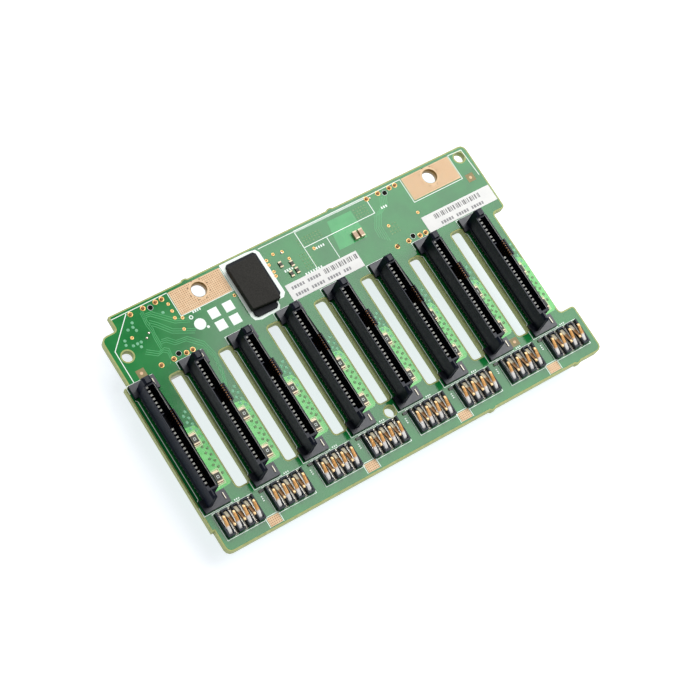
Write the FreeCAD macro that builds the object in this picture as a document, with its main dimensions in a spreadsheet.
# Drive backplane board: a printed board that carries eight upright drive sockets, a spring
# contact block in front of each of them, and, on its underside, two cable sockets and a power
# header. The board lies level. X runs along the row of drives, Y from the spring contacts
# towards the screw holes, and Z up, the way the drive sockets point. The origin is under the
# board's middle, at the height of what the board stands on. Sizes are in millimetres.
import FreeCAD
import Part
import math
import os
import Sketcher

V = FreeCAD.Vector

# Places on the board are counted from its front left corner. Places on a drive socket are
# counted from the corner of its printed frame, which is also the datum of each drive.
SIZES = {
    # printed board
    "board_length": 134.65,
    "board_width": 76.8,
    "board_thickness": 2.36,
    "foot_step": 0.75,
    "foot_step_end": 7.6,
    "shoulder_step": 1.55,
    "shoulder_start": 55.6,
    "notch_length": 7.05,
    "notch_depth": 4.8,
    "head_step": 0.65,
    "recess_depth": 5.2,
    "recess_start": 15.9,
    "recess_end": 52.9,
    "outer_corner": 2.0,
    "inner_corner": 1.0,
    "tab_length": 2.4,
    "tab_height": 0.4,
    "back_tab_one": 32.55,
    "back_tab_two": 83.85,
    "front_tab_one": 93.35,
    "front_tab_two": 125.35,
    # fixing and tooling holes
    "screw_hole": 4.8,
    "screw_one": 35.02,
    "screw_spacing": 83.2,
    "screw_row": 72.27,
    "tooling_hole": 3.4,
    "tooling_left": 5.93,
    "tooling_left_row": 63.8,
    "tooling_right": 130.45,
    "tooling_right_row": 73.55,
    "tooling_front": 64.97,
    "tooling_front_row": 13.85,
    # bare copper land round each screw hole
    "land_length": 17.5,
    "land_width": 8.0,
    "land_drop": 0.75,
    "land_thickness": 0.1,
    "land_hole": 5.0,
    # row of drives and the air slots between them
    "drive_start": 0.35,
    "drive_row": 12.6,
    "drive_pitch": 16.66,
    "vent_offset": 12.85,
    "vent_width": 4.15,
    "vent_start": 2.75,
    "vent_end": 40.4,
    "vent_corner": 1.0,
    "short_vent_start": 4.6,
    "short_vent_end": 38.9,
    # drive socket moulding
    "housing_left": 1.93,
    "housing_right": 5.5,
    "housing_front": 3.9,
    "housing_back": 38.9,
    "housing_top": 8.6,
    "housing_lift": 1.2,
    "ledge_out": 0.25,
    "ledge_height": 0.9,
    "card_left": 3.05,
    "card_right": 4.9,
    "card_front": 4.55,
    "card_back": 38.4,
    "card_depth": 6.2,
    "groove_depth": 0.85,
    "groove_width": 0.6,
    "contact_pitch": 1.27,
    "power_start": 5.75,
    "signal_start": 29.88,
    "key_front": 24.2,
    "key_back": 29.2,
    "key_depth": 0.75,
    "bump_front": 23.9,
    "bump_back": 29.5,
    "bump_out": 0.7,
    "bump_start": 24.3,
    "bump_pitch": 0.8,
    "bump_groove": 0.45,
    "ear_left": 0.6,
    "ear_right": 8.9,
    "front_ear_start": 0.1,
    "front_ear_end": 4.3,
    "back_ear_start": 38.7,
    "back_ear_end": 43.0,
    "back_post_left": 2.3,
    "back_post_right": 4.9,
    "back_post_end": 41.1,
    "back_post_rise": 1.4,
    "front_post_right": 3.5,
    "front_post_start": 1.3,
    "front_post_rise": 0.8,
    "post_chamfer": 0.6,
    # contacts and solder tabs of a drive socket
    "blade_thickness": 0.25,
    "blade_width": 0.45,
    "bump_blade": 0.35,
    "blade_top": 7.2,
    "tab_place": 7.8,
    "tab_sheet": 0.3,
    "tab_width": 2.0,
    "tab_rise": 0.3,
    "tab_tail": 1.2,
    "front_tab_row": 2.3,
    "back_tab_row": 40.9,
    "tab_clearance": 0.1,
    # spring contact block in front of a drive
    "block_place": 8.82,
    "block_row": -4.9,
    "block_length": 12.4,
    "block_width": 8.0,
    "block_height": 1.6,
    "block_wall": 0.6,
    "finger_pitch": 3.33,
    "finger_width": 1.0,
    "finger_clearance": 0.14,
    "finger_thickness": 0.25,
    "finger_bend": 0.55,
    "finger_slope": 22.0,
    "finger_arm": 4.5,
    "finger_tip": 0.6,
    # pad over the power pins
    "pad_place": 50.7,
    "pad_row": 67.4,
    "liner_length": 10.6,
    "liner_width": 15.6,
    "liner_thickness": 0.6,
    "liner_foot_length": 8.0,
    "liner_foot_width": 2.9,
    "pad_front_length": 7.8,
    "pad_back_length": 9.1,
    "pad_width": 13.4,
    "pad_skew": 1.2,
    "pad_thickness": 2.2,
    "pad_corner": 0.8,
    # labels
    "label_length": 25.5,
    "label_width": 5.5,
    "label_thickness": 0.12,
    "label_one": 71.0,
    "label_two": 120.65,
    "label_row": 58.95,
    # cable sockets on the underside
    "cable_one": 18.35,
    "cable_spacing": 82.95,
    "cable_row": 65.8,
    "cage_length": 14.6,
    "cage_width": 22.0,
    "cage_height": 9.3,
    "cage_wall": 0.4,
    "cage_mouth": 8.0,
    "leg_row": 8.8,
    "leg_first": -5.2,
    "leg_pitch": 4.2,
    "leg_last": 5.3,
    "leg_width": 0.8,
    "leg_rise": 0.3,
    "leg_hole": 1.2,
    "peg_place": 1.05,
    "peg_row": 8.0,
    "peg_size": 1.3,
    "peg_hole": 1.5,
    "insert_length": 8.4,
    "insert_width": 17.0,
    "insert_slot_width": 14.6,
    "insert_slot_height": 1.6,
    "insert_slot_depth": 6.0,
    "pair_pitch": 0.8,
    "pair_width": 0.35,
    "pair_thickness": 0.25,
    # power header on the underside
    "header_place": 49.95,
    "header_row": 65.8,
    "header_length": 9.4,
    "header_width": 18.6,
    "header_height": 9.3,
    "header_wall": 1.0,
    "header_floor": 1.8,
    "pin_pitch": 3.0,
    "pin_spacing": 3.0,
    "pin_size": 0.64,
    "pin_reach": 7.4,
    "pin_hole": 1.1,
    # small surface parts
    "network_place": 9.4,
    "network_back_row": 20.7,
    "network_front_row": 8.0,
    "network_length": 1.9,
    "network_width": 3.1,
    "network_height": 0.6,
    "lamp_place": 1.6,
    "lamp_row": -1.3,
    "lamp_length": 1.6,
    "lamp_width": 0.8,
    "lamp_height": 0.5,
    "capacitor_place": 86.25,
    "capacitor_spacing": 2.0,
    "capacitor_row": 65.7,
    "capacitor_length": 1.3,
    "capacitor_width": 2.6,
    "capacitor_height": 1.2,
    "chip_length": 1.0,
    "chip_width": 1.9,
    "chip_height": 0.5,
}

DRIVES = 8
POWER_CONTACTS = 15
SIGNAL_CONTACTS = 7
FINGERS = 4
LEGS = 3
CABLE_PAIRS = 18
PIN_COLUMNS = 5
SHORT_FRONT_VENT = 3
SHORT_BACK_VENT = 5
# Small round holes are drawn with this many sides, and rounded corners of the board with
# this many chords, which keeps the model light.
HOLE_SIDES = 6
PEG_SIDES = 8
LAND_SIDES = 12
TOOLING_SIDES = 20
CHORDS = 3
# Small chip resistors beside the pad, each at its place along and across the board.
CHIPS = ((60.85, 68.0), (64.1, 66.8), (64.4, 64.2), (62.3, 64.0))

doc = FreeCAD.newDocument("drive_backplane")
sheet = doc.addObject("Spreadsheet::Sheet", "Sizes")
for row, (alias, value) in enumerate(SIZES.items(), start=1):
    sheet.set(f"A{row}", alias)
    sheet.set(f"B{row}", str(value))
    sheet.setAlias(f"B{row}", alias)
doc.recompute()

parts = []

# The board lies above whichever of the two kinds of underside connector is the taller.
UNDERSIDE = "max(Sizes.cage_height; Sizes.header_height)"
TOPSIDE = f"({UNDERSIDE} + Sizes.board_thickness)"
BLOCK_ALONG = "Sizes.drive_start + Sizes.block_place"
BLOCK_ACROSS = "Sizes.drive_row + Sizes.block_row"


def size(alias):
    """Read one cell of the sheet as a number."""
    return float(sheet.get(alias))


def number(expression):
    """Work out an expression on the sheet's cells as a number."""
    return float(sheet.evalExpression(expression.replace("Sizes.", "")))


def keep(part, along, across, height):
    """Name a sub-part's place from the board's front left corner, and list it for export."""
    part.setExpression("Placement.Base.x", f"({along}) - Sizes.board_length / 2")
    part.setExpression("Placement.Base.y", f"({across}) - Sizes.board_width / 2")
    part.setExpression("Placement.Base.z", height)
    parts.append(part)
    return part


def new_body(label, along, across, height):
    """Start a solid piece at its place."""
    body = doc.addObject("PartDesign::Body", label)
    body.Label = label
    return keep(body, along, across, height)


def group(label, shapes, along, across, height):
    """Make one sub-part of several like solids."""
    part = doc.addObject("Part::Feature", label)
    part.Label = label
    part.Shape = Part.makeCompound(shapes)
    return keep(part, along, across, height)


def repeat(first):
    """Set the same piece again at each of the other drives."""
    name = first.Label.removesuffix("_1")
    for index in range(1, DRIVES):
        part = doc.addObject("Part::Compound", f"{name}_{index + 1}")
        part.Label = f"{name}_{index + 1}"
        part.Links = [first]
        part.setExpression("Placement.Base.x", f"{index} * Sizes.drive_pitch")
        parts.append(part)


def datum(index):
    """Give the place of one drive's datum along the board."""
    return f"Sizes.drive_start + {index} * Sizes.drive_pitch"


def new_sketch(body, label, height, plane="XY_Plane"):
    """Start a sketch on one of a body's own planes, moved along the plane's normal."""
    sketch = body.newObject("Sketcher::SketchObject", f"{body.Label}_{label}")
    support = next(item for item in body.Origin.OriginFeatures if item.Role == plane)
    sketch.AttachmentSupport = [(support, "")]
    sketch.MapMode = "FlatFace"
    sketch.setExpression("AttachmentOffset.Base.z", height)
    return sketch


def hold(sketch, edge, point, place, expressions):
    """Hold one point of a sketch's edge at its two distances from the origin."""
    for kind, distance, expression in zip(("DistanceX", "DistanceY"), place, expressions):
        index = sketch.addConstraint(Sketcher.Constraint(kind, -1, 1, edge, point, distance))
        sketch.setExpression(f"Constraints[{index}]", expression)


def outline(sketch, corners):
    """Draw a closed loop of straight edges through corners that follow the sheet."""
    places = [V(number(x), number(y), 0) for x, y in corners]
    first = sketch.GeometryCount
    total = len(corners)
    for index, place in enumerate(places):
        sketch.addGeometry(Part.LineSegment(place, places[(index + 1) % total]), False)
    for index in range(total):
        following = first + (index + 1) % total
        sketch.addConstraint(Sketcher.Constraint("Coincident", first + index, 2, following, 1))
    for index, corner in enumerate(corners):
        hold(sketch, first + index, 1, (places[index].x, places[index].y), corner)


def rectangle(sketch, left, right, front, back):
    """Draw a rectangle between two places along and two places across."""
    outline(sketch, [(left, front), (right, front), (right, back), (left, back)])


def circle(sketch, x, y, diameter):
    """Draw a circle that follows the sheet."""
    centre = V(number(x), number(y), 0)
    round_edge = Part.Circle(centre, V(0, 0, 1), number(diameter) / 2)
    edge = sketch.addGeometry(round_edge, False)
    hold(sketch, edge, 3, (centre.x, centre.y), (x, y))
    index = sketch.addConstraint(Sketcher.Constraint("Diameter", edge, number(diameter)))
    sketch.setExpression(f"Constraints[{index}]", diameter)


def ring(sketch, x, y, diameter, sides):
    """Draw a small round shape as an even polygon that follows the sheet."""
    corners = []
    for side in range(sides):
        angle = 2 * math.pi * side / sides
        corners.append((f"{x} + {diameter} / 2 * {math.cos(angle):.6f}",
                        f"{y} + {diameter} / 2 * {math.sin(angle):.6f}"))
    outline(sketch, corners)


def bend(corner, arrive, leave, radius):
    """Round a corner with short chords, given the directions of travel into and out of it."""
    points = []
    for chord in range(CHORDS + 1):
        angle = math.pi / 2 * chord / CHORDS
        back, ahead = 1 - math.sin(angle), 1 - math.cos(angle)
        along = ahead * leave[0] - back * arrive[0]
        across = ahead * leave[1] - back * arrive[1]
        points.append((f"{corner[0]} + {radius} * {along:.6f}",
                       f"{corner[1]} + {radius} * {across:.6f}"))
    return points


def soft_rectangle(sketch, left, right, front, back, radius):
    """Draw a rectangle with rounded corners."""
    outline(sketch, bend((left, front), (0, -1), (1, 0), radius)
            + bend((right, front), (1, 0), (0, 1), radius)
            + bend((right, back), (0, 1), (-1, 0), radius)
            + bend((left, back), (-1, 0), (0, -1), radius))


def pad(body, sketch, length):
    """Raise a sketch into material."""
    feature = body.newObject("PartDesign::Pad", f"{sketch.Label}_pad")
    feature.Profile = sketch
    feature.setExpression("Length", length)
    doc.recompute()
    return feature


def pocket(body, sketch, depth):
    """Cut a sketch down into the material below it."""
    feature = body.newObject("PartDesign::Pocket", f"{sketch.Label}_cut")
    feature.Profile = sketch
    feature.setExpression("Length", depth)
    doc.recompute()
    return feature


def bevel(body, amount, names):
    """Bevel edges of the body's last feature."""
    base = body.Tip
    feature = body.newObject("PartDesign::Chamfer", f"{body.Label}_chamfer")
    feature.Base = (base, names)
    feature.setExpression("Size", amount)
    doc.recompute()
    return feature


def upright_edges(body, corners, reach=0.02):
    """Name the upright edges that stand at the given corners of a body's last feature."""
    names = []
    for index, edge in enumerate(body.Tip.Shape.Edges, start=1):
        ends = [vertex.Point for vertex in edge.Vertexes]
        if len(ends) != 2 or math.hypot(ends[0].x - ends[1].x, ends[0].y - ends[1].y) > reach:
            continue
        if any(math.hypot(ends[0].x - x, ends[0].y - y) < reach for x, y in corners):
            names.append(f"Edge{index}")
    return names


def post_edges(body, left, right, joined, free, top, reach=0.01):
    """Name the top edges of a guide post, apart from the one beside the socket's wall."""
    names = []
    front, back = min(joined, free) - reach, max(joined, free) + reach
    for index, edge in enumerate(body.Tip.Shape.Edges, start=1):
        box = edge.BoundBox
        level = abs(box.ZMin - top) < reach and abs(box.ZMax - top) < reach
        inside = box.XMin > left - reach and box.XMax < right + reach
        inside = inside and box.YMin > front and box.YMax < back
        beside = abs(box.YMin - joined) < reach and abs(box.YMax - joined) < reach
        if level and inside and not beside:
            names.append(f"Edge{index}")
    return names


def places(corners):
    """Work out corners as pairs of numbers."""
    return [(number(x), number(y)) for x, y in corners]


def box(left, right, front, back, low, high):
    """Make a block between six faces."""
    return Part.makeBox(right - left, back - front, high - low, V(left, front, low))


def make_board():
    """Cut the printed board: outline, air slots, and the holes for what is fixed to it."""
    body = new_body("circuit_board", "0", "0", UNDERSIDE)
    length, width = "Sizes.board_length", "Sizes.board_width"
    foot, shoulder = "Sizes.foot_step", "Sizes.shoulder_step"
    notch_base = f"{width} - Sizes.notch_depth"
    head = f"{length} - Sizes.head_step"
    recess = f"{length} - Sizes.recess_depth"
    outer, inner = "Sizes.outer_corner", "Sizes.inner_corner"
    right, up, left, down = (1, 0), (0, 1), (-1, 0), (0, -1)
    front_left = bend((foot, "0"), down, right, outer)
    front_right = bend((length, "0"), right, up, outer)
    steps = (bend((length, "Sizes.recess_start"), up, left, inner)
             + bend((recess, "Sizes.recess_start"), left, up, inner)
             + bend((recess, "Sizes.recess_end"), up, right, inner)
             + bend((head, "Sizes.recess_end"), right, up, inner)
             + bend((head, width), up, left, outer))
    notch = ([("Sizes.notch_length", width)]
             + bend(("Sizes.notch_length", notch_base), down, left, inner)
             + bend((shoulder, notch_base), left, down, outer))
    left_steps = [
        (shoulder, "Sizes.shoulder_start"), ("0", "Sizes.shoulder_start"),
        ("0", "Sizes.foot_step_end"), (foot, "Sizes.foot_step_end"),
    ]

    def tab(middle, edge, side):
        """Give the stub that is left where the board was broken from its panel."""
        half = "Sizes.tab_length / 2"
        out = f"{edge} {side} Sizes.tab_height"
        first, last = ("-", "+") if side == "-" else ("+", "-")
        return [
            (f"{middle} {first} {half}", edge), (f"{middle} {first} {half} / 2", out),
            (f"{middle} {last} {half} / 2", out), (f"{middle} {last} {half}", edge),
        ]

    front_tabs = tab("Sizes.front_tab_one", "0", "-") + tab("Sizes.front_tab_two", "0", "-")
    back_tabs = tab("Sizes.back_tab_two", width, "+") + tab("Sizes.back_tab_one", width, "+")
    sketch = new_sketch(body, "outline", "0")
    outline(sketch, front_left + front_tabs + front_right + steps + back_tabs + notch + left_steps)
    pad(body, sketch, "Sizes.board_thickness")

    for index in range(DRIVES - 1):
        vent = new_sketch(body, f"vent_{index}", "Sizes.board_thickness")
        start = "Sizes.short_vent_start" if index == SHORT_FRONT_VENT else "Sizes.vent_start"
        end = "Sizes.short_vent_end" if index == SHORT_BACK_VENT else "Sizes.vent_end"
        edge = f"{datum(index)} + Sizes.vent_offset"
        soft_rectangle(vent, edge, f"{edge} + Sizes.vent_width", f"Sizes.drive_row + {start}",
                       f"Sizes.drive_row + {end}", "Sizes.vent_corner")
        pocket(body, vent, "Sizes.board_thickness")

    holes = new_sketch(body, "holes", "Sizes.board_thickness")
    circle(holes, "Sizes.screw_one", "Sizes.screw_row", "Sizes.screw_hole")
    circle(holes, "Sizes.screw_one + Sizes.screw_spacing", "Sizes.screw_row", "Sizes.screw_hole")
    for place in ("left", "right", "front"):
        ring(holes, f"Sizes.tooling_{place}", f"Sizes.tooling_{place}_row",
             "Sizes.tooling_hole", TOOLING_SIDES)
    pocket(body, holes, "Sizes.board_thickness")

    tabs = new_sketch(body, "solder_tab_slots", "Sizes.board_thickness")
    half_sheet = "(Sizes.tab_sheet / 2 + Sizes.tab_clearance)"
    half_tab = "(Sizes.tab_width / 2 + Sizes.tab_clearance)"
    for index in range(DRIVES):
        middle = f"{datum(index)} + Sizes.tab_place"
        for tab_row in ("Sizes.front_tab_row", "Sizes.back_tab_row"):
            across = f"Sizes.drive_row + {tab_row}"
            rectangle(tabs, f"{middle} - {half_sheet}", f"{middle} + {half_sheet}",
                      f"{across} - {half_tab}", f"{across} + {half_tab}")
    pocket(body, tabs, "Sizes.board_thickness")

    for socket in range(2):
        legs = new_sketch(body, f"leg_holes_{socket}", "Sizes.board_thickness")
        middle = f"Sizes.cable_one + {socket} * Sizes.cable_spacing"
        for side in ("-", "+"):
            for leg in leg_places():
                ring(legs, f"{middle} + {leg}", f"Sizes.cable_row {side} Sizes.leg_row",
                     "Sizes.leg_hole", HOLE_SIDES)
            ring(legs, f"{middle} + Sizes.peg_place", f"Sizes.cable_row {side} Sizes.peg_row",
                 "Sizes.peg_hole", PEG_SIDES)
        pocket(body, legs, "Sizes.board_thickness")
    pins = new_sketch(body, "pin_holes", "Sizes.board_thickness")
    for column, pin_row in pin_places():
        ring(pins, f"Sizes.header_place + {column}", f"Sizes.header_row + {pin_row}",
             "Sizes.pin_hole", HOLE_SIDES)
    pocket(body, pins, "Sizes.board_thickness")


def leg_places():
    """Give the places of a cable socket's legs along one side, as expressions."""
    even = [f"(Sizes.leg_first + {leg} * Sizes.leg_pitch)" for leg in range(LEGS)]
    return even + ["Sizes.leg_last"]


def pin_places():
    """Give the places of the power pins about the header's middle, as expressions."""
    first = (PIN_COLUMNS - 1) / 2
    return [(f"({side} * Sizes.pin_spacing / 2)", f"({column - first} * Sizes.pin_pitch)")
            for side in (-1, 1) for column in range(PIN_COLUMNS)]


def make_drive_connector():
    """Mould a drive socket: a tall slotted wall on two ears, with a guide post at each end."""
    body = new_body("drive_connector_1", "Sizes.drive_start", "Sizes.drive_row", TOPSIDE)
    wall = new_sketch(body, "wall", "Sizes.housing_lift")
    rectangle(wall, "Sizes.housing_left", "Sizes.housing_right",
              "Sizes.housing_front", "Sizes.housing_back")
    pad(body, wall, "Sizes.housing_top - Sizes.housing_lift")
    ledge = new_sketch(body, "ledge", "Sizes.housing_lift")
    rectangle(ledge, "Sizes.housing_left - Sizes.ledge_out", "Sizes.housing_right",
              "Sizes.housing_front", "Sizes.housing_back")
    pad(body, ledge, "Sizes.ledge_height")
    bump = new_sketch(body, "bump", "Sizes.housing_lift")
    rectangle(bump, "Sizes.card_right", "Sizes.housing_right + Sizes.bump_out",
              "Sizes.bump_front", "Sizes.bump_back")
    pad(body, bump, "Sizes.housing_top - Sizes.housing_lift")
    ears = new_sketch(body, "ears", "0")
    rectangle(ears, "Sizes.ear_left", "Sizes.ear_right",
              "Sizes.front_ear_start", "Sizes.front_ear_end")
    rectangle(ears, "Sizes.ear_left", "Sizes.ear_right",
              "Sizes.back_ear_start", "Sizes.back_ear_end")
    pad(body, ears, "Sizes.housing_lift")
    back_post = new_sketch(body, "back_post", "0")
    rectangle(back_post, "Sizes.back_post_left", "Sizes.back_post_right",
              "Sizes.housing_back", "Sizes.back_post_end")
    pad(body, back_post, "Sizes.housing_top + Sizes.back_post_rise")
    front_post = new_sketch(body, "front_post", "0")
    rectangle(front_post, "Sizes.housing_left", "Sizes.front_post_right",
              "Sizes.front_post_start", "Sizes.housing_front")
    pad(body, front_post, "Sizes.housing_top + Sizes.front_post_rise")

    card = new_sketch(body, "card_slot", "Sizes.housing_top")
    rectangle(card, "Sizes.card_left", "Sizes.card_right", "Sizes.card_front", "Sizes.card_back")
    pocket(body, card, "Sizes.card_depth")
    key = new_sketch(body, "key_slot", "Sizes.housing_top")
    rectangle(key, "Sizes.card_left - Sizes.key_depth", "Sizes.card_left",
              "Sizes.key_front", "Sizes.key_back")
    pocket(body, key, "Sizes.card_depth")
    cut_grooves(body)

    tabs = new_sketch(body, "tab_slots", "Sizes.housing_lift")
    half_sheet, half_tab = "Sizes.tab_sheet / 2", "Sizes.tab_width / 2"
    for tab_row in ("Sizes.front_tab_row", "Sizes.back_tab_row"):
        rectangle(tabs, f"Sizes.tab_place - {half_sheet}", f"Sizes.tab_place + {half_sheet}",
                  f"{tab_row} - {half_tab}", f"{tab_row} + {half_tab}")
    pocket(body, tabs, "Sizes.housing_lift")

    back_top = post_edges(body, size("back_post_left"), size("back_post_right"),
                          size("housing_back"), size("back_post_end"),
                          size("housing_top") + size("back_post_rise"))
    bevel(body, "Sizes.post_chamfer", back_top)
    front_top = post_edges(body, size("housing_left"), size("front_post_right"),
                           size("housing_front"), size("front_post_start"),
                           size("housing_top") + size("front_post_rise"))
    bevel(body, "Sizes.post_chamfer", front_top)
    repeat(body)


def contact_rows():
    """List the rows of contacts: first place, pitch, number, and the side they stand on."""
    return (
        ("power_start", "contact_pitch", POWER_CONTACTS, -1),
        ("signal_start", "contact_pitch", SIGNAL_CONTACTS, -1),
        ("bump_start", "bump_pitch", SIGNAL_CONTACTS, 1),
    )


def cut_grooves(body):
    """Cut the grooves of the two long contact rows, and one pocket for the short row."""
    for start, pitch, count, side in contact_rows():
        sketch = new_sketch(body, f"{start}_grooves", "Sizes.housing_top")
        if side > 0:
            last = f"Sizes.{start} + {count - 1} * Sizes.{pitch}"
            rectangle(sketch, "Sizes.card_right", "Sizes.card_right + Sizes.groove_depth",
                      f"Sizes.{start} - Sizes.bump_groove / 2", f"{last} + Sizes.bump_groove / 2")
            pocket(body, sketch, "Sizes.card_depth")
            continue
        half = "Sizes.groove_width / 2"
        rectangle(sketch, "Sizes.card_left - Sizes.groove_depth", "Sizes.card_left",
                  f"Sizes.{start} - {half}", f"Sizes.{start} + {half}")
        first = pocket(body, sketch, "Sizes.card_depth")
        pattern = body.newObject("PartDesign::LinearPattern", f"{body.Label}_{start}_row")
        pattern.Originals = [first]
        axis = next(item for item in body.Origin.OriginFeatures if item.Role == "Y_Axis")
        pattern.Direction = (axis, [""])
        pattern.Occurrences = count
        pattern.setExpression("Length", f"Sizes.{pitch} * {count - 1}")
        body.Tip = pattern
        doc.recompute()


def make_drive_contacts():
    """Stand the contacts in their grooves, on the floor of the card slot."""
    thickness = size("blade_thickness")
    low, high = size("housing_top") - size("card_depth"), size("blade_top")
    shapes = []
    for start, pitch, count, side in contact_rows():
        half = size("blade_width") / 2 if side < 0 else size("bump_blade") / 2
        wall = size("card_left") - size("groove_depth") if side < 0 else (
            size("card_right") + size("groove_depth"))
        left, right = sorted((wall, wall - side * thickness))
        for place in range(count):
            middle = size(start) + place * size(pitch)
            shapes.append(box(left, right, middle - half, middle + half, low, high))
    repeat(group("drive_contacts_1", shapes, "Sizes.drive_start", "Sizes.drive_row", TOPSIDE))


def make_solder_tabs():
    """Make the two soldered tabs that hold each drive socket down."""
    half_sheet, half_tab = size("tab_sheet") / 2, size("tab_width") / 2
    low = -size("board_thickness") - size("tab_tail")
    high = size("housing_lift") + size("tab_rise")
    shapes = []
    for index in range(DRIVES):
        middle = index * size("drive_pitch") + size("tab_place")
        for tab_row in (size("front_tab_row"), size("back_tab_row")):
            shapes.append(box(middle - half_sheet, middle + half_sheet,
                              tab_row - half_tab, tab_row + half_tab, low, high))
    group("solder_tabs", shapes, "Sizes.drive_start", "Sizes.drive_row", TOPSIDE)


def finger_places():
    """List the spring fingers: place along the block, and the way the tip points."""
    first = (FINGERS - 1) / 2
    pitch = size("finger_pitch")
    forward = [((place - first) * pitch, 1) for place in range(FINGERS)]
    backward = [((place - first + 0.5) * pitch, -1) for place in range(FINGERS - 1)]
    return forward + backward


def make_spring_block():
    """Mould the comb that the spring fingers lie in, open at each finger's solder foot."""
    body = new_body("spring_block_1", BLOCK_ALONG, BLOCK_ACROSS, TOPSIDE)
    half_length, half_width = "Sizes.block_length / 2", "Sizes.block_width / 2"
    base = new_sketch(body, "base", "0")
    rectangle(base, f"-{half_length}", half_length, f"-{half_width}", half_width)
    pad(body, base, "Sizes.block_height")
    slots = new_sketch(body, "slots", "Sizes.block_height")
    half_slot = "(Sizes.finger_width / 2 + Sizes.finger_clearance)"
    inside = f"({half_width} - Sizes.block_wall)"
    first = (FINGERS - 1) / 2
    for finger in range(FINGERS):
        middle = f"{finger - first} * Sizes.finger_pitch"
        rectangle(slots, f"{middle} - {half_slot}", f"{middle} + {half_slot}",
                  f"-{inside}", half_width)
    for finger in range(FINGERS - 1):
        middle = f"{finger - first + 0.5} * Sizes.finger_pitch"
        rectangle(slots, f"{middle} - {half_slot}", f"{middle} + {half_slot}",
                  f"-{half_width}", inside)
    pocket(body, slots, "Sizes.block_height")
    repeat(body)


def ribbon(line, half):
    """Thicken a middle line in the YZ plane into a closed face with mitred corners."""
    steps = [(last - first).normalize() for first, last in zip(line, line[1:])]
    upper, lower = [], []
    for index, point in enumerate(line):
        before, after = steps[max(index - 1, 0)], steps[min(index, len(steps) - 1)]
        across = V(0, -(before.z + after.z), before.y + after.y).normalize()
        reach = half / across.dot(V(0, -before.z, before.y))
        upper.append(point + across * reach)
        lower.append(point - across * reach)
    return Part.Face(Part.makePolygon(upper + lower[::-1] + upper[:1]))


def finger_shape():
    """Bend one spring finger: foot, turned-back root, rising arm and bent contact tip."""
    half = size("finger_thickness") / 2
    slope = math.radians(size("finger_slope"))
    bend, tip = size("finger_bend"), size("finger_tip")
    root = -size("block_width") / 2 + size("block_wall") + bend + 2 * half

    def turn(centre, radius, angle):
        """Give a point on an arc of the finger's middle line."""
        return V(0, centre.y + radius * math.cos(angle), centre.z + radius * math.sin(angle))

    bend_centre = V(0, root, half + bend)
    foot_end = V(0, size("block_width") / 2, half)
    bend_start = turn(bend_centre, bend, -math.pi / 2)
    bend_middle = turn(bend_centre, bend, math.pi + slope / 2)
    bend_end = turn(bend_centre, bend, math.pi / 2 + slope)
    arm_end = bend_end + V(0, math.cos(slope), math.sin(slope)) * size("finger_arm")
    tip_centre = arm_end + V(0, math.sin(slope), -math.cos(slope)) * tip
    tip_top = turn(tip_centre, tip, math.pi / 2)
    tip_end = turn(tip_centre, tip, math.pi / 2 - 2 * slope)
    line = [foot_end, bend_start, bend_middle, bend_end, tip_top, tip_end]
    strip = ribbon(line, half).extrude(V(size("finger_width"), 0, 0))
    strip.translate(V(-size("finger_width") / 2, 0, 0))
    return strip


def make_spring_contacts():
    """Lay the fingers in the comb, alternately facing."""
    finger = finger_shape()
    shapes = []
    for place, way in finger_places():
        copy = finger.copy()
        if way < 0:
            copy.rotate(V(0, 0, 0), V(0, 0, 1), 180)
        copy.translate(V(place, 0, 0))
        shapes.append(copy)
    repeat(group("spring_contacts_1", shapes, BLOCK_ALONG, BLOCK_ACROSS, TOPSIDE))


def make_pad():
    """Lay the pad over the power pins: a thin liner with a foot, and the pad itself on it."""
    liner = new_body("pad_liner", "Sizes.pad_place", "Sizes.pad_row", TOPSIDE)
    left, right = "-Sizes.liner_length / 2", "Sizes.liner_length / 2"
    back, front = "Sizes.liner_width / 2", "-Sizes.liner_width / 2"
    foot_right = f"{left} + Sizes.liner_foot_length"
    foot_front = f"{front} - Sizes.liner_foot_width"
    corners = [(left, foot_front), (foot_right, foot_front), (foot_right, front),
               (right, front), (right, back), (left, back)]
    sketch = new_sketch(liner, "outline", "0")
    outline(sketch, corners)
    pad(liner, sketch, "Sizes.liner_thickness")
    bevel(liner, "Sizes.pad_corner", upright_edges(liner, places(corners)))

    foam = new_body("foam_pad", "Sizes.pad_place", "Sizes.pad_row",
                    f"{TOPSIDE} + Sizes.liner_thickness")
    foam_left, foam_front = "-Sizes.liner_length / 2", "-Sizes.liner_width / 2"
    foam_corners = [
        (foam_left, foam_front), (f"{foam_left} + Sizes.pad_front_length", foam_front),
        (f"{foam_left} + Sizes.pad_back_length",
         f"{foam_front} + Sizes.pad_width - Sizes.pad_skew"),
        (foam_left, f"{foam_front} + Sizes.pad_width"),
    ]
    foam_sketch = new_sketch(foam, "outline", "0")
    outline(foam_sketch, foam_corners)
    pad(foam, foam_sketch, "Sizes.pad_thickness")
    bevel(foam, "Sizes.pad_corner", upright_edges(foam, places(foam_corners)))


def make_screw_lands():
    """Lay the bare copper land round each screw hole, slightly proud of the board."""
    half_length, half_width = size("land_length") / 2, size("land_width") / 2
    radius, drop = size("land_hole") / 2, size("land_drop")
    turns = [2 * math.pi * side / LAND_SIDES for side in range(LAND_SIDES + 1)]
    shapes = []
    for middle in (0, size("screw_spacing")):
        plate = box(middle - half_length, middle + half_length, -drop - half_width,
                    half_width - drop, 0, size("land_thickness"))
        corners = [V(middle + radius * math.cos(turn), radius * math.sin(turn), 0)
                   for turn in turns]
        hole = Part.Face(Part.makePolygon(corners)).extrude(V(0, 0, size("land_thickness")))
        shapes.append(plate.cut(hole))
    group("screw_lands", shapes, "Sizes.screw_one", "Sizes.screw_row", TOPSIDE)


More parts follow.
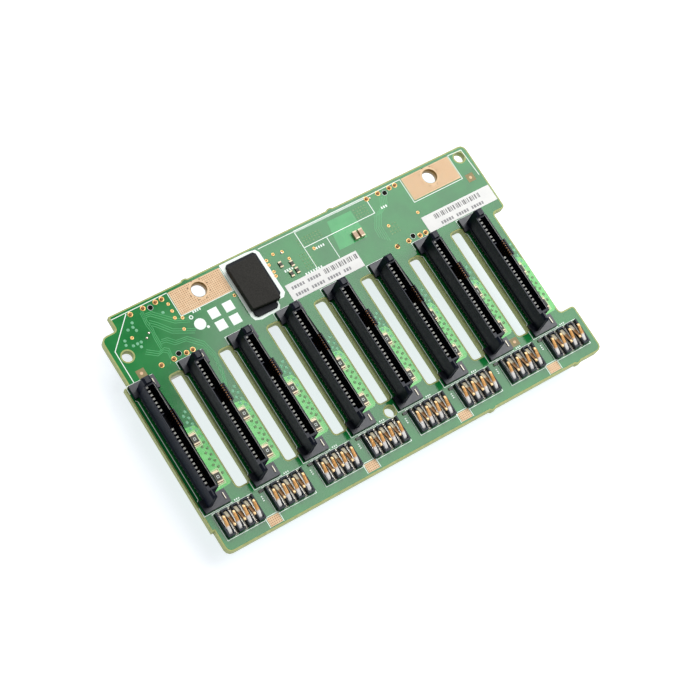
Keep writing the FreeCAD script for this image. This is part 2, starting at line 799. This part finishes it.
def make_label(label, place):
    """Stick one paper label to the board."""
    body = new_body(label, place, "Sizes.label_row", TOPSIDE)
    sketch = new_sketch(body, "outline", "0")
    rectangle(sketch, "-Sizes.label_length / 2", "Sizes.label_length / 2",
              "-Sizes.label_width / 2", "Sizes.label_width / 2")
    pad(body, sketch, "Sizes.label_thickness")


def make_cable_socket(side, index):
    """Make one cable socket: folded cage with legs, insert with its card slot, and contacts."""
    along = f"Sizes.cable_one + {index} * Sizes.cable_spacing"
    place = (along, "Sizes.cable_row", UNDERSIDE)
    half_length, half_width = "Sizes.cage_length / 2", "Sizes.cage_width / 2"
    wall, bottom = "Sizes.cage_wall", "-Sizes.cage_height"
    cage = new_body(f"{side}_cable_cage", *place)
    shell = new_sketch(cage, "shell", bottom)
    rectangle(shell, f"-{half_length}", half_length, f"-{half_width}", half_width)
    pad(cage, shell, "Sizes.cage_height")
    hollow = new_sketch(cage, "hollow", "0")
    rectangle(hollow, f"-{half_length}", f"{half_length} - {wall}",
              f"-{half_width} + {wall}", f"{half_width} - {wall}")
    pocket(cage, hollow, f"Sizes.cage_height - {wall}")
    leg_base = new_sketch(cage, "leg_bases", f"-{wall}")
    leg = new_sketch(cage, "legs", f"-{wall}")
    for sign in ("-", "+"):
        low, high = ("+", "-") if sign == "-" else ("-", "+")
        shelf = sorted_pair(f"{sign} {half_width} {low} {wall} / 2",
                            f"{sign} Sizes.leg_row {low} {wall} / 2")
        rectangle(leg_base, "Sizes.leg_first - Sizes.leg_width / 2",
                  "Sizes.leg_last + Sizes.leg_width / 2", *shelf)
        for middle in leg_places():
            rectangle(leg, f"{middle} - Sizes.leg_width / 2", f"{middle} + Sizes.leg_width / 2",
                      f"{sign} Sizes.leg_row - {wall} / 2", f"{sign} Sizes.leg_row + {wall} / 2")
    pad(cage, leg_base, wall)
    pad(cage, leg, f"{wall} + Sizes.board_thickness + Sizes.leg_rise")

    insert = new_body(f"{side}_cable_insert", *place)
    back_face = f"{half_length} - {wall}"
    front_face = f"{back_face} - Sizes.insert_length"
    block = new_sketch(insert, "block", f"-Sizes.cage_height + {wall}")
    rectangle(block, front_face, back_face, "-Sizes.insert_width / 2", "Sizes.insert_width / 2")
    pad(insert, block, f"Sizes.cage_height - {wall}")
    pegs = new_sketch(insert, "pegs", "0")
    for sign in ("-", "+"):
        ring(pegs, "Sizes.peg_place", f"{sign} Sizes.peg_row", "Sizes.peg_size", PEG_SIDES)
    pad(insert, pegs, "Sizes.board_thickness")
    slot = new_sketch(insert, "card_slot", f"{front_face} + Sizes.insert_slot_depth", "YZ_Plane")
    half_slot = "Sizes.insert_slot_height / 2"
    rectangle(slot, "-Sizes.insert_slot_width / 2", "Sizes.insert_slot_width / 2",
              f"-Sizes.cage_height / 2 - {half_slot}", f"-Sizes.cage_height / 2 + {half_slot}")
    pocket(insert, slot, "Sizes.insert_slot_depth")

    start = number(front_face)
    thickness, half_strip = size("pair_thickness"), size("pair_width") / 2
    strips = []
    for count in range(CABLE_PAIRS):
        across = (count - (CABLE_PAIRS - 1) / 2) * size("pair_pitch")
        for sign in (-1, 1):
            face = -size("cage_height") / 2 + sign * size("insert_slot_height") / 2
            low, high = sorted((face, face - sign * thickness))
            strips.append(box(start, start + size("insert_slot_depth"), across - half_strip,
                              across + half_strip, low, high))
    group(f"{side}_cable_contacts", strips, *place)


def sorted_pair(first, second):
    """Put two places in rising order."""
    return (first, second) if number(first) < number(second) else (second, first)


def make_power_header():
    """Make the shrouded power header and its pins."""
    place = ("Sizes.header_place", "Sizes.header_row", UNDERSIDE)
    half_length, half_width = "Sizes.header_length / 2", "Sizes.header_width / 2"
    body = new_body("power_header", *place)
    block = new_sketch(body, "block", "-Sizes.header_height")
    rectangle(block, f"-{half_length}", half_length, f"-{half_width}", half_width)
    pad(body, block, "Sizes.header_height")
    hollow = new_sketch(body, "hollow", "-Sizes.header_floor")
    rectangle(hollow, f"-{half_length} + Sizes.header_wall", f"{half_length} - Sizes.header_wall",
              f"-{half_width} + Sizes.header_wall", f"{half_width} - Sizes.header_wall")
    pocket(body, hollow, "Sizes.header_height - Sizes.header_floor")
    holes = new_sketch(body, "pin_holes", "0")
    half_pin = "Sizes.pin_size / 2"
    for column, pin_row in pin_places():
        rectangle(holes, f"{column} - {half_pin}", f"{column} + {half_pin}",
                  f"{pin_row} - {half_pin}", f"{pin_row} + {half_pin}")
    pocket(body, holes, "Sizes.header_floor")

    half = size("pin_size") / 2
    shapes = []
    for column, pin_row in pin_places():
        x, y = number(column), number(pin_row)
        shapes.append(box(x - half, x + half, y - half, y + half,
                          -size("pin_reach"), size("board_thickness")))
    group("power_pins", shapes, *place)


def make_surface_parts():
    """Place the small parts that are soldered to the board's top."""
    half_length, half_width = size("network_length") / 2, size("network_width") / 2
    networks = []
    for index in range(DRIVES):
        middle = index * size("drive_pitch") + size("network_place")
        for across in (size("network_front_row"), size("network_back_row")):
            networks.append(box(middle - half_length, middle + half_length, across - half_width,
                                across + half_width, 0, size("network_height")))
    group("resistor_networks", networks, "Sizes.drive_start", "Sizes.drive_row", TOPSIDE)

    half_length, half_width = size("lamp_length") / 2, size("lamp_width") / 2
    lamps = []
    for index in range(1, DRIVES):
        middle = index * size("drive_pitch") + size("lamp_place")
        across = size("lamp_row")
        lamps.append(box(middle - half_length, middle + half_length, across - half_width,
                         across + half_width, 0, size("lamp_height")))
    group("status_lamps", lamps, "Sizes.drive_start", "Sizes.drive_row", TOPSIDE)

    half_length, half_width = size("capacitor_length") / 2, size("capacitor_width") / 2
    capacitors = []
    for middle in (0, size("capacitor_spacing")):
        capacitors.append(box(middle - half_length, middle + half_length, -half_width,
                              half_width, 0, size("capacitor_height")))
    group("capacitors", capacitors, "Sizes.capacitor_place", "Sizes.capacitor_row", TOPSIDE)

    half_length, half_width = size("chip_length") / 2, size("chip_width") / 2
    chips = []
    for along, across in CHIPS:
        chips.append(box(along - half_length, along + half_length, across - half_width,
                         across + half_width, 0, size("chip_height")))
    group("chip_resistors", chips, "0", "0", TOPSIDE)


def main():
    """Build every sub-part, check it and write it out."""
    make_board()
    make_drive_connector()
    make_drive_contacts()
    make_spring_block()
    make_spring_contacts()
    make_solder_tabs()
    make_pad()
    make_screw_lands()
    make_label("left_label", "Sizes.label_one")
    make_label("right_label", "Sizes.label_two")
    make_cable_socket("left", 0)
    make_cable_socket("right", 1)
    make_power_header()
    make_surface_parts()
    doc.recompute()
    for item in doc.Objects:
        if "Invalid" in item.State or "Error" in item.State:
            raise ValueError(f"{item.Label} did not build: {item.State}")
    os.makedirs("parts", exist_ok=True)
    for part in parts:
        if part.Shape.isNull() or not part.Shape.isValid():
            raise ValueError(f"{part.Label} has no valid shape")
    for part in parts:
        part.Shape.exportStep(f"parts/{part.Label}.step")


main()
